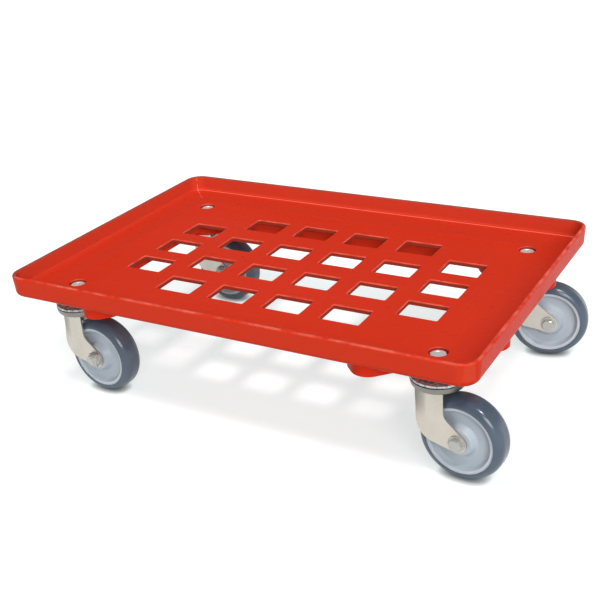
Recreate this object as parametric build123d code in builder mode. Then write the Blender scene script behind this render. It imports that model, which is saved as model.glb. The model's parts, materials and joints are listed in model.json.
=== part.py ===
from build123d import *
import os
from math import acos, atan2, degrees, radians, sqrt, tan

# Crate dolly: a moulded plastic tray deck that stands on four swivel casters.
# Lengths are in millimetres and angles in degrees. +X runs along the deck, +Y to its back, +Z up.
# The origin is the centre of the load face, the flat floor of the tray.

# Deck tray
deck_length = 620.0
deck_width = 420.0
rim_height = 24.5
rim_thickness = 5.0
rim_rounding = 2.2
plate_thickness = 3.5
corner_radius = 22.0
wall_draft = 3.5
skirt_rounding = 7.0
border_width = 44.0
border_rise = 3.0
field_corner_radius = 8.0
wall_foot_rounding = 4.5

# Rectangular holes through the deck: a middle block and one column beyond each end of it
hole_length = 51.0
hole_width = 39.0
hole_corner_radius = 1.5
hole_edge_rounding = 0.8
hole_columns = 4
hole_rows = 4
column_pitch = 77.3
row_pitch = 70.5
end_column_rows = 3
end_row_pitch = 63.5

# Caster places, and the forms under the deck that surround each caster
caster_inset_x = 62.5
caster_inset_y = 61.0
boss_radius = 32.0
boss_height = 11.5
pad_length = 182.0
pad_depth = 50.0
pad_corner_radius = 20.0
horseshoe_radius = 60.0
horseshoe_thickness = 5.0
horseshoe_height = 19.0
horseshoe_half_angle = 74.0
rib_thickness = 4.0
side_rib_gap = 5.5
side_rib_height = 20.0
end_rib_gap = 4.5
end_rib_height = 11.0

# Bolt and nut that hold each caster to the deck
bolt_diameter = 10.0
bolt_clearance = 0.2
bolt_flange_diameter = 20.0
bolt_flange_thickness = 2.5
bolt_across_flats = 15.0
bolt_hex_height = 3.5
bolt_head_recess = 2.5
recess_clearance = 1.25
bolt_tip = 1.0
fixing_nut_across_flats = 17.0
fixing_nut_height = 6.0
thread_clearance = 0.05

# Swivel head, with depths taken from the mounting face down
sheet_thickness = 2.5
sheet_bend_radius = 2.6
cup_slope_width = 4.5
cup_rim_radius = 30.8
crown_top_depth = 14.0
crown_step_radius = 16.0
crown_slope_width = 2.0
trough_depth = 5.0
crown_rim_radius = 31.3
crown_rim_slope = 1.2
crown_rim_gap = 0.7
upper_ball_diameter = 6.35
upper_ball_count = 20
lower_ball_diameter = 4.76
lower_ball_count = 14
ball_clearance = 0.05
kingpin_radius = 8.0
kingpin_clearance = 1.0
kingpin_flange_radius = 11.0
kingpin_flange_thickness = 2.0
kingpin_flange_gap = 2.2
dish_thickness = 2.0
dish_rim_gap = 1.4

# Wheel
wheel_radius = 50.0
tyre_width = 32.0
tyre_thickness = 9.0
tread_flat_width = 8.5
rim_inset = 1.8
rim_lip_thickness = 3.3
rim_lip_rounding = 0.9
rim_recess = 6.2
rim_band_slope = 2.6
rim_web_rise = 1.5
rim_web_rounding = 1.6
hub_thickness = 5.5
hub_taper = 4.5
hub_end_gap = 0.3
bush_thickness = 3.0
bush_clearance = 0.05
trail = 30.5
tyre_to_nut_gap = 2.3

# Fork legs and axle
tyre_side_gap = 1.5
leg_front = 17.0
leg_back = 15.0
leg_end_radius = 11.3
leg_low_slope = 12.0
leg_high_slope = 40.0
leg_heel_radius = 24.0
leg_throat_radius = 14.0
leg_edge_rounding = 0.7
axle_diameter = 10.0
axle_clearance = 0.1
axle_flange_radius = 9.5
axle_flange_thickness = 1.5
axle_head_across_flats = 13.2
axle_head_height = 4.5
axle_nut_across_flats = 17.0
axle_nut_height = 6.0
axle_collar_height = 2.5
axle_collar_radius = 7.6
axle_tip = 0.8
sleeve_thickness = 1.9

# Hexagon bolt heads and nuts: end corners cut back on cones of this slope, from this share of the flats
hexagon_sides = 6
hex_chamfer_slope = 30.0
hex_face_share = 0.95

# How near two heights are to count as one
touch = 0.01

# Casters at rest: the corner, the way each one trails (turned from +X), and the side of its axle head
casters = {
    "front_left": (-1, -1, -3.2, 1),
    "front_right": (1, -1, -4.9, -1),
    "rear_left": (-1, 1, -2.0, 1),
    "rear_right": (1, 1, 13.4, -1),
}

# Deck places worked out from the sizes above
deck_underside = -plate_thickness
plate_middle = deck_underside / 2
mount_height = deck_underside - boss_height
inner_length = deck_length - 2 * rim_thickness
inner_width = deck_width - 2 * rim_thickness
inner_corner_radius = corner_radius - rim_thickness
wall_lean = (rim_height - border_rise) * tan(radians(wall_draft))
foot_length = inner_length - 2 * wall_lean
foot_width = inner_width - 2 * wall_lean
foot_corner_radius = inner_corner_radius - wall_lean
field_length = foot_length - 2 * border_width
field_width = foot_width - 2 * border_width
end_column_offset = (hole_columns + 1) / 2 * column_pitch
side_rib_offset = (hole_rows - 1) / 2 * row_pitch + hole_width / 2 + side_rib_gap
end_rib_offset = end_column_offset + hole_length / 2 + end_rib_gap
pivot_x = deck_length / 2 - caster_inset_x
pivot_y = deck_width / 2 - caster_inset_y
pivots = [(side_x * pivot_x, side_y * pivot_y) for side_x, side_y, _, _ in casters.values()]
inward_turns = [degrees(atan2(-side_y, -side_x)) for side_x, side_y, _, _ in casters.values()]

# Bolt and swivel head depths and radii
bolt_radius = bolt_diameter / 2
bolt_hole_radius = bolt_radius + bolt_clearance
recess_radius = bolt_flange_diameter / 2 + recess_clearance
recess_depth = bolt_head_recess + bolt_hex_height + bolt_flange_thickness
sheet_half = sheet_thickness / 2
trough_top_depth = crown_top_depth + trough_depth
trough_inner_radius = crown_step_radius + crown_slope_width
trough_outer_radius = crown_rim_radius - sheet_half - crown_rim_slope
upper_race_radius = (trough_inner_radius + trough_outer_radius) / 2
upper_ball_depth = trough_top_depth - ball_clearance - upper_ball_diameter / 2
cup_race_depth = upper_ball_depth - upper_ball_diameter / 2 - ball_clearance
cup_flat_radius = kingpin_flange_radius + kingpin_flange_gap
crown_hole_radius = kingpin_radius + kingpin_clearance
lower_race_radius = (crown_hole_radius + crown_step_radius) / 2
lower_ball_depth = crown_top_depth + sheet_thickness + ball_clearance + lower_ball_diameter / 2
dish_top_depth = lower_ball_depth + lower_ball_diameter / 2 + ball_clearance
kingpin_flange_depth = dish_top_depth + dish_thickness
fixing_nut_depth = kingpin_flange_depth + kingpin_flange_thickness
fixing_nut_bottom = fixing_nut_depth + fixing_nut_height

# Wheel and axle places: the tyre passes under the fixing nut with its own gap
fixing_nut_corner = fixing_nut_across_flats / sqrt(3)
axle_depth = fixing_nut_bottom + sqrt(
    (wheel_radius + tyre_to_nut_gap) ** 2 - (trail - fixing_nut_corner) ** 2
)
leg_inner = tyre_width / 2 + tyre_side_gap
leg_outer = leg_inner + sheet_thickness
axle_radius = axle_diameter / 2
sleeve_bore = axle_radius + axle_clearance
sleeve_radius = sleeve_bore + sleeve_thickness
bush_bore = sleeve_radius + bush_clearance
bush_radius = bush_bore + bush_thickness
hub_radius = bush_radius + hub_thickness
hub_half_length = leg_inner - hub_end_gap
rim_radius = wheel_radius - tyre_thickness
rim_half_width = tyre_width / 2 - rim_inset
rim_band_radius = rim_radius - rim_lip_thickness
web_half_width = rim_half_width - rim_recess
tread_half = tread_flat_width / 2
shoulder_radius = tyre_width / 2 - tread_half
shoulder_centre = wheel_radius - shoulder_radius
shoulder_turn = degrees(acos((rim_radius - shoulder_centre) / shoulder_radius))

# Fork leg outline: two straight edges that touch the round end about the axle
leg_top = -trough_top_depth - sheet_half
low_angle = -90 - leg_low_slope
high_angle = 90 - leg_high_slope
axle_point = Vector(trail, -axle_depth)
low_edge = axle_point + Vector(leg_end_radius, 0).rotate(Axis.Z, low_angle)
high_edge = axle_point + Vector(leg_end_radius, 0).rotate(Axis.Z, high_angle)
heel_point = (-leg_front, low_edge.Y + (low_edge.X + leg_front) * tan(radians(leg_low_slope)))
throat_point = (leg_back, high_edge.Y + (high_edge.X - leg_back) * tan(radians(leg_high_slope)))

os.makedirs("parts", exist_ok=True)


def write(piece, name):
    """Label a finished piece and write it to its own file."""
    piece.label = name
    export_step(piece, f"parts/{name}.step")


def place(piece, plane, name):
    """Set a copy of a piece on a plane and write it under its name."""
    with BuildPart(plane) as placed:
        add(piece)
    write(placed.part, name)


def edges_at_height(piece, height):
    """The edges of a piece that lie level at one height."""
    return piece.edges().filter_by_position(Axis.Z, height - touch, height + touch)


def hexagon(across_flats, height):
    """A hexagonal prism on the Z axis, its end corners cut back on cones."""
    corner = across_flats / sqrt(3)
    face = hex_face_share * across_flats / 2
    drop = (corner - face) * tan(radians(hex_chamfer_slope))
    with BuildPart() as prism:
        with BuildSketch(Plane.XY):
            RegularPolygon(corner, hexagon_sides)
        extrude(amount=height)
        with BuildSketch(Plane.XZ):
            with BuildLine():
                Polyline(
                    (0, 0),
                    (face, 0),
                    (corner, drop),
                    (corner, height - drop),
                    (face, height),
                    (0, height),
                    close=True,
                )
            make_face()
        revolve(axis=Axis.Z, mode=Mode.INTERSECT)
    return prism.part


def add_disc(radius, bottom, top):
    """Add a plain disc on the Z axis, between two heights, to the piece being made."""
    with BuildSketch(Plane.XY.offset(bottom)) as section:
        Circle(radius)
    extrude(section.sketch, amount=top - bottom)


def add_tube(inner_radius, outer_radius, bottom, top):
    """Add a plain tube on the Z axis, between two heights, to the piece being made."""
    with BuildSketch(Plane.XY.offset(bottom)) as section:
        Circle(outer_radius)
        Circle(inner_radius, mode=Mode.SUBTRACT)
    extrude(section.sketch, amount=top - bottom)


def add_pressed_ring(path):
    """Add a ring of bent sheet on the Z axis; its section follows a middle line of (radius, height)."""
    with BuildSketch(Plane.XZ) as section:
        with BuildLine():
            FilletPolyline(*path, radius=sheet_bend_radius)
        trace(line_width=sheet_thickness)
    revolve(section.sketch, axis=Axis.Z)


# Deck: the tray, the forms under it, and the holes through it
with BuildPart() as deck:
    with BuildSketch(Plane.XY.offset(rim_height)):
        RectangleRounded(deck_length, deck_width, corner_radius)
    extrude(amount=deck_underside - rim_height, taper=wall_draft)
    fillet(deck.faces().sort_by(Axis.Z)[0].edges(), skirt_rounding)

    with BuildSketch(Plane.XY.offset(rim_height)):
        RectangleRounded(inner_length, inner_width, inner_corner_radius)
    extrude(amount=border_rise - rim_height, taper=wall_draft, mode=Mode.SUBTRACT)
    with BuildSketch(Plane.XY.offset(border_rise)):
        RectangleRounded(foot_length, foot_width, foot_corner_radius)
    with BuildSketch(Plane.XY):
        RectangleRounded(field_length, field_width, field_corner_radius)
    loft(ruled=True, mode=Mode.SUBTRACT)
    fillet(edges_at_height(deck, border_rise), wall_foot_rounding)
    fillet(deck.faces().sort_by(Axis.Z)[-1].edges(), rim_rounding)

    with BuildSketch(Plane.XY.offset(plate_middle)):
        with Locations(*pivots):
            Circle(boss_radius)
    extrude(amount=mount_height - plate_middle)

    with BuildSketch(Plane.XY.offset(plate_middle)):
        for (x, y), inward in zip(pivots, inward_turns):
            with Locations(Location((x, y), inward)):
                RectangleRounded(
                    pad_depth, pad_length, pad_corner_radius, align=(Align.MIN, Align.CENTER)
                )
    extrude(amount=mount_height - plate_middle)

    with BuildSketch(Plane.XY.offset(plate_middle)):
        for (x, y), inward in zip(pivots, inward_turns):
            start = inward - horseshoe_half_angle
            arc = CenterArc((x, y), horseshoe_radius, start, 2 * horseshoe_half_angle, mode=Mode.PRIVATE)
            SlotArc(arc, horseshoe_thickness)
    extrude(amount=deck_underside - horseshoe_height - plate_middle)

    with BuildSketch(Plane.XY.offset(plate_middle)):
        with GridLocations(0, 2 * side_rib_offset, 1, 2):
            Rectangle(2 * end_rib_offset + rib_thickness, rib_thickness)
        with Locations(*pivots):
            Circle(horseshoe_radius, mode=Mode.SUBTRACT)
    extrude(amount=deck_underside - side_rib_height - plate_middle)
    with BuildSketch(Plane.XY.offset(plate_middle)):
        with GridLocations(2 * end_rib_offset, 0, 2, 1):
            Rectangle(rib_thickness, 2 * side_rib_offset)
        with Locations(*pivots):
            Circle(horseshoe_radius, mode=Mode.SUBTRACT)
    extrude(amount=deck_underside - end_rib_height - plate_middle)

    with BuildSketch(Plane.XY.offset(deck_underside)):
        with GridLocations(column_pitch, row_pitch, hole_columns, hole_rows):
            RectangleRounded(hole_length, hole_width, hole_corner_radius)
        with GridLocations(2 * end_column_offset, end_row_pitch, 2, end_column_rows):
            RectangleRounded(hole_length, hole_width, hole_corner_radius)
    extrude(amount=plate_thickness, mode=Mode.SUBTRACT)
    with Locations(*pivots):
        CounterBoreHole(bolt_hole_radius, recess_radius, recess_depth)
    load_face = deck.faces().filter_by(Plane.XY).filter_by_position(Axis.Z, -touch, touch)[0]
    fillet(load_face.inner_wires().edges(), hole_edge_rounding)
write(deck.part, "deck")

# Fixing bolts and nuts, one set at each caster
bolt_hexagon = hexagon(bolt_across_flats, bolt_hex_height)
with BuildPart() as fixing_bolt:
    add_disc(bolt_flange_diameter / 2, 0, bolt_flange_thickness)
    add_disc(bolt_radius, recess_depth + mount_height - fixing_nut_bottom - bolt_tip, 0)
    with Locations((0, 0, bolt_flange_thickness)):
        add(bolt_hexagon)
with BuildPart(Plane.XY.offset(-recess_depth)) as fixing_bolts:
    with Locations(*pivots):
        add(fixing_bolt.part)
write(fixing_bolts.part, "fixing_bolts")

nut_hexagon = hexagon(fixing_nut_across_flats, fixing_nut_height)
with BuildPart(Plane.XY.offset(mount_height - fixing_nut_bottom)) as fixing_nuts:
    with Locations(*pivots):
        add(nut_hexagon)
        Hole(bolt_radius + thread_clearance)
write(fixing_nuts.part, "fixing_nuts")

# Swivel head pieces, made about the pivot with the mounting face at height 0 and the wheel towards +X
with BuildPart() as top_cup:
    add_pressed_ring(
        [
            (bolt_hole_radius, -sheet_half),
            (cup_flat_radius, -sheet_half),
            (cup_flat_radius + cup_slope_width, sheet_half - cup_race_depth),
            (cup_rim_radius, sheet_half - cup_race_depth),
        ]
    )

with BuildPart() as kingpin:
    add_tube(bolt_hole_radius, kingpin_radius, -fixing_nut_depth, -sheet_thickness)
    add_tube(
        bolt_hole_radius,
        kingpin_flange_radius,
        -sheet_thickness - kingpin_flange_thickness,
        -sheet_thickness,
    )
    add_tube(bolt_hole_radius, kingpin_flange_radius, -fixing_nut_depth, -kingpin_flange_depth)

with BuildPart() as lower_dish:
    add_tube(kingpin_radius, crown_step_radius - dish_rim_gap, -kingpin_flange_depth, -dish_top_depth)

with BuildPart(Plane.XY.offset(-upper_ball_depth)) as upper_balls:
    with PolarLocations(upper_race_radius, upper_ball_count):
        Sphere(upper_ball_diameter / 2)

with BuildPart(Plane.XY.offset(-lower_ball_depth)) as lower_balls:
    with PolarLocations(lower_race_radius, lower_ball_count):
        Sphere(lower_ball_diameter / 2)

# Fork: two legs and the crown that carries them round the swivel head
with BuildPart() as fork:
    with BuildSketch(Plane.XZ.offset(-leg_outer)):
        with BuildLine():
            FilletPolyline((-leg_front, leg_top), heel_point, low_edge, radius=leg_heel_radius)
            CenterArc(axle_point, leg_end_radius, low_angle, high_angle - low_angle)
            FilletPolyline(high_edge, throat_point, (leg_back, leg_top), radius=leg_throat_radius)
            Line((leg_back, leg_top), (-leg_front, leg_top))
        make_face()
        with Locations(axle_point):
            Circle(sleeve_bore, mode=Mode.SUBTRACT)
    extrude(amount=sheet_thickness)
    fillet(fork.faces().sort_by(Axis.Y)[-1].outer_wire().edges(), leg_edge_rounding)
    mirror(about=Plane.XZ)
    add_pressed_ring(
        [
            (crown_hole_radius, -crown_top_depth - sheet_half),
            (crown_step_radius, -crown_top_depth - sheet_half),
            (trough_inner_radius, leg_top),
            (trough_outer_radius, leg_top),
            (crown_rim_radius - sheet_half, -cup_race_depth - crown_rim_gap),
        ]
    )

# Wheel and axle pieces, made about the wheel's centre with the axle along Z
with BuildPart() as tyre:
    with BuildSketch(Plane.XZ):
        with BuildLine():
            Line((wheel_radius, -tread_half), (wheel_radius, tread_half))
            upper = CenterArc((shoulder_centre, tread_half), shoulder_radius, 0, shoulder_turn)
            lower = CenterArc((shoulder_centre, -tread_half), shoulder_radius, 0, -shoulder_turn)
            Line(upper @ 1, lower @ 1)
        make_face()
    revolve(axis=Axis.Z)

rim_section = [
    (bush_radius, hub_half_length),
    (hub_radius, hub_half_length),
    (hub_radius + hub_taper, web_half_width + rim_web_rise),
    (rim_band_radius - rim_band_slope, web_half_width),
    (rim_band_radius, rim_half_width),
    (rim_radius, rim_half_width),
]
rim_roundings = [rim_lip_rounding, rim_web_rounding, rim_web_rounding, rim_lip_rounding]
with BuildPart() as wheel_rim:
    with BuildSketch(Plane.XZ):
        with BuildLine():
            side = FilletPolyline(*rim_section, radius=rim_roundings)
            mirror(side, about=Plane.XZ)
            Line((bush_radius, hub_half_length), (bush_radius, -hub_half_length))
            Line((rim_radius, rim_half_width), (rim_radius, -rim_half_width))
        make_face()
    revolve(axis=Axis.Z)

with BuildPart() as wheel_bush:
    add_tube(bush_bore, bush_radius, -hub_half_length, hub_half_length)

with BuildPart() as axle_sleeve:
    add_tube(sleeve_bore, sleeve_radius, -leg_inner, leg_inner)

axle_flange_top = leg_outer + axle_flange_thickness
axle_hexagon = hexagon(axle_head_across_flats, axle_head_height)
axle_nut_bottom = -leg_outer - axle_nut_height
axle_collar_bottom = axle_nut_bottom - axle_collar_height
with BuildPart() as axle_bolt:
    add_disc(axle_radius, axle_collar_bottom - axle_tip, leg_outer)
    add_disc(axle_flange_radius, leg_outer, axle_flange_top)
    with Locations((0, 0, axle_flange_top)):
        add(axle_hexagon)

axle_nut_hexagon = hexagon(axle_nut_across_flats, axle_nut_height)
with BuildPart() as axle_nut:
    add_disc(axle_collar_radius, axle_collar_bottom, axle_nut_bottom)
    fillet(axle_nut.faces().sort_by(Axis.Z)[0].edges(), axle_collar_height / 2)
    with Locations((0, 0, axle_nut_bottom)):
        add(axle_nut_hexagon)
        Hole(axle_radius + thread_clearance)

# Each caster's pieces in their places
head_pieces = {
    "top_cup": top_cup,
    "kingpin": kingpin,
    "lower_dish": lower_dish,
    "upper_balls": upper_balls,
    "lower_balls": lower_balls,
    "fork": fork,
}
wheel_pieces = {
    "axle_bolt": axle_bolt,
    "axle_nut": axle_nut,
    "axle_sleeve": axle_sleeve,
    "wheel_bush": wheel_bush,
    "wheel_rim": wheel_rim,
    "tyre": tyre,
}
for corner, (side_x, side_y, turn, head_side) in casters.items():
    trailing = Vector(1, 0).rotate(Axis.Z, turn)
    sideways = Vector(0, head_side).rotate(Axis.Z, turn)
    head_plane = Plane((side_x * pivot_x, side_y * pivot_y, mount_height), x_dir=trailing)
    wheel_centre = head_plane.from_local_coords((trail, 0, -axle_depth))
    wheel_plane = Plane(wheel_centre, x_dir=trailing, z_dir=sideways)
    for name, piece in head_pieces.items():
        place(piece.part, head_plane, f"{name}_{corner}")
    for name, piece in wheel_pieces.items():
        place(piece.part, wheel_plane, f"{name}_{corner}")
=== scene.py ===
import json
import logging
from collections.abc import Sequence
from dataclasses import dataclass
from enum import Enum

import bmesh
import bpy
import numpy as np
from mathutils import Matrix, Vector


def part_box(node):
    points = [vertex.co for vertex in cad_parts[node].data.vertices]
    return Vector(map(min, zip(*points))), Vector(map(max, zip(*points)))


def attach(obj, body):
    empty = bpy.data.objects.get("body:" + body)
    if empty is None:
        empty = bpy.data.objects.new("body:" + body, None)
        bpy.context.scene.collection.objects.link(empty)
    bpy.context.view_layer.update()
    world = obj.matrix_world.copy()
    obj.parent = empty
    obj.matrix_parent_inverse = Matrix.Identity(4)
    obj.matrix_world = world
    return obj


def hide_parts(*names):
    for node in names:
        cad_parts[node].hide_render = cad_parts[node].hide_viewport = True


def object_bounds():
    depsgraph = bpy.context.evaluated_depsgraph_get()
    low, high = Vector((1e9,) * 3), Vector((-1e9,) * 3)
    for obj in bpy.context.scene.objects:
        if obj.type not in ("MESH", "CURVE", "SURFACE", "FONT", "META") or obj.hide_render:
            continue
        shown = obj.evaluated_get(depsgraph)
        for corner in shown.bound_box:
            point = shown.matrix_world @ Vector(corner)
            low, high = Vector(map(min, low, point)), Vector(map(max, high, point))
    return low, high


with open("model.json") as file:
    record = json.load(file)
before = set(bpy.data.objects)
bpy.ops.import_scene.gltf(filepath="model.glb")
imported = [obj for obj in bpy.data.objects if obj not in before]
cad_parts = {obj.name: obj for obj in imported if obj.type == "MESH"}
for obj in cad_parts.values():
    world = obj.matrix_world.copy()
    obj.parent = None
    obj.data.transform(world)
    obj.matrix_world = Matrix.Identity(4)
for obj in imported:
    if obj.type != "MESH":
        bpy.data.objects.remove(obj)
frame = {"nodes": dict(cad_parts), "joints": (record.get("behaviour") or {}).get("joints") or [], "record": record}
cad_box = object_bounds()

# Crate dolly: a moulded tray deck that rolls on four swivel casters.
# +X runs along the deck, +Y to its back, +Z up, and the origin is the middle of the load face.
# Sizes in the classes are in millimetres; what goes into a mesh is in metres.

Array = np.ndarray
Colour = tuple[float, float, float]
Triple = tuple[float, float, float]
Pair = tuple[float, float]
Piece = bpy.types.Object
Material = bpy.types.Material
Socket = bpy.types.NodeSocket

MM = 0.001
UP = np.array([0.0, 0.0, 1.0])
RADIUS_MARK = "lathe_radius"
# How far a point lies round a bend, which sets the fork's painted shade.
BEND_SHADE_MARK = "bend_shade_share"
LIP_MARK = "lip_share"
log = logging.getLogger("crate_dolly")


class Corner(Enum):
    """The corner of the deck that a caster stands under."""

    FRONT_LEFT = "front_left"
    FRONT_RIGHT = "front_right"
    REAR_LEFT = "rear_left"
    REAR_RIGHT = "rear_right"


class Axis(Enum):
    """The two axes of a caster that a section can be turned about."""

    PIVOT = "pivot"
    AXLE = "axle"


class Slot(Enum):
    """The record's material slots."""

    DECK = "deck_plastic"
    ZINC = "zinc_plate"
    BRIGHT = "bright_zinc"
    BALL = "ball_steel"
    WHEEL = "wheel_plastic"
    BUSH = "bush_plastic"
    TREAD = "tyre_tread"


@dataclass(frozen=True)
class Patches:
    """Patches of a noise, with scale as its features to a metre; they fade in over the span of its values."""

    scale: float
    span: Pair = (0.3, 0.7)
    detail: float = 3.0
    stretch: Triple = (1.0, 1.0, 1.0)
    turn: float = 0.0


class Graph:
    """The node tree of a material or of the surround."""

    def __init__(self, owner: Material | bpy.types.World) -> None:
        """Start an empty tree.

        Args:
            owner: The material or world that the tree belongs to.
        """
        owner.use_nodes = True
        self.tree = owner.node_tree
        self.tree.nodes.clear()
        self.coordinates = self.add("TexCoord").outputs
        self.place = self.coordinates["Object"]

    def feed(self, socket: Socket, value: object) -> None:
        """Link a socket to another, or set its constant.

        Args:
            socket: The input to fill.
            value: An output socket, a node whose first output is meant, or a number, colour or vector.
        """
        if isinstance(value, bpy.types.Node):
            value = value.outputs[0]
        if isinstance(value, Socket):
            self.tree.links.new(value, socket)
        else:
            socket.default_value = value

    def add(
        self, kind: str, *ordered: object, setting: tuple[str, str] | None = None, **named: object
    ) -> bpy.types.Node:
        """Add a node and fill its inputs.

        Args:
            kind: The node's type name, without the words that all of them start with.
            ordered: Values of the first inputs, in order.
            setting: The name and the value of the node's own setting, if it isn't left as it is.
            named: Values by input name, written in lower case with underscores.

        Returns:
            The new node.
        """
        node = self.tree.nodes.new(f"ShaderNode{kind}")
        if setting:
            setattr(node, *setting)
        for socket, value in zip(node.inputs, ordered):
            self.feed(socket, value)
        for name, value in named.items():
            self.feed(node.inputs[name.replace("_", " ").title()], value)
        return node

    def split(self, vector: Socket) -> Sequence[Socket]:
        """Take a vector's three parts."""
        return self.add("SeparateXYZ", vector).outputs

    def noise(self, look: Patches) -> Socket:
        """Lay a smooth noise, whose middle value is about 0.5, over the object's coordinates."""
        place = self.add("Mapping", vector=self.place, rotation=(0.0, 0.0, look.turn), scale=look.stretch)
        return self.add("TexNoise", vector=place, scale=look.scale, detail=look.detail).outputs[0]

    def patches(self, look: Patches, ends: Pair = (0.0, 1.0)) -> Socket:
        """Let a value wander in patches between two ends."""
        return self.spread(self.noise(look), look.span, ends)

    def mark(self, name: str) -> Socket:
        """Read a number that the mesh carries at its points."""
        return self.add("Attribute", setting=("attribute_name", name)).outputs["Fac"]

    def spread(self, value: Socket, span: Pair, ends: Pair = (0.0, 1.0)) -> Socket:
        """Map a span of a value to the range between two ends, and hold it there beyond the span."""
        return self.add("MapRange", value, *span, *ends).outputs[0]

    def reach(self, value: Socket, span: Pair, ends: Pair = (0.0, 1.0)) -> Socket:
        """Spread a distance whose span is given in millimetres."""
        return self.spread(value, (span[0] * MM, span[1] * MM), ends)

    def between(self, value: Socket, levels: Pair, ease: float = 0.05) -> Socket:
        """Mark with 1 where a distance lies between two levels, in millimetres, and ease to 0 beyond them."""
        above = self.reach(value, (levels[0] - ease, levels[0]))
        return self.times(above, self.reach(value, (levels[1], levels[1] + ease), (1.0, 0.0)))

    def within(self, x: Socket, y: Socket, half: Pair) -> Socket:
        """Mark what lies in a rectangle about the middle, given by half its length and half its width."""
        along, across = ((-edge, edge) for edge in half)
        return self.times(self.between(x, along), self.between(y, across))

    def math(self, operation: str, first: object, second: object = 0.0) -> Socket:
        """Work out one step on one or two values."""
        return self.add("Math", first, second, setting=("operation", operation)).outputs[0]

    def times(self, first: object, second: object) -> Socket:
        """Multiply two values."""
        return self.math("MULTIPLY", first, second)

    def larger(self, first: object, second: object) -> Socket:
        """Take the larger of two values."""
        return self.math("MAXIMUM", first, second)

    def mix(self, share: Socket, first: object, second: object) -> Socket:
        """Mix two colours, each a socket or a constant, by the share of the second."""
        a, b = (colour if isinstance(colour, Socket) else (*colour, 1.0) for colour in (first, second))
        return self.add("Mix", setting=("data_type", "RGBA"), factor=share, a=a, b=b).outputs["Result"]

    def relief(self, height: Socket, depth: float, under: Socket | None = None) -> Socket:
        """Add a layer of fine relief, its depth in millimetres, over the layer under it if there is one."""
        below = {} if under is None else {"normal": under}
        return self.add("Bump", strength=1.0, distance=depth * MM, height=height, **below).outputs[0]


@dataclass(frozen=True)
class Finish:
    """A finish with two close tones, a range of roughness and a fine grain."""

    slot: Slot
    tones: tuple[Colour, Colour]
    roughness: Pair
    metallic: float = 0.0
    specular: float = 0.5
    tone_scale: float = 9.0
    rough_scale: float = 60.0
    grain_scale: float = 900.0
    grain_depth: float = 0.02
    grain_stretch: Triple = (1.0, 1.0, 1.0)

    def material(self) -> Material:
        """Make the finish's material.

        Returns:
            A procedural material.
        """
        material = bpy.data.materials.new(self.slot.value)
        graph = Graph(material)
        shader = graph.add(
            "BsdfPrincipled",
            metallic=self.metallic,
            base_color=self.colour(graph),
            roughness=self.rough(graph),
            normal=self.grain(graph),
        )
        shader.inputs["Specular IOR Level"].default_value = self.specular
        graph.add("OutputMaterial", surface=shader)
        return material

    def colour(self, graph: Graph) -> Socket:
        """Mix the two tones in broad soft clouds."""
        return graph.mix(graph.patches(Patches(self.tone_scale)), *self.tones)

    def rough(self, graph: Graph) -> Socket:
        """Let the roughness wander between its two ends."""
        return graph.patches(Patches(self.rough_scale), self.roughness)

    def grain(self, graph: Graph, under: Socket | None = None) -> Socket:
        """Raise a fine grain, on another layer of relief if there is one."""
        grains = graph.noise(Patches(self.grain_scale, stretch=self.grain_stretch))
        return graph.relief(grains, self.grain_depth, under)


@dataclass(frozen=True)
class Band:
    """A band of the deck between two levels: its tone, how much that shows and how softly it ends."""

    levels: Pair
    colour: Colour
    share: float = 1.0
    ease: float = 0.05


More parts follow.
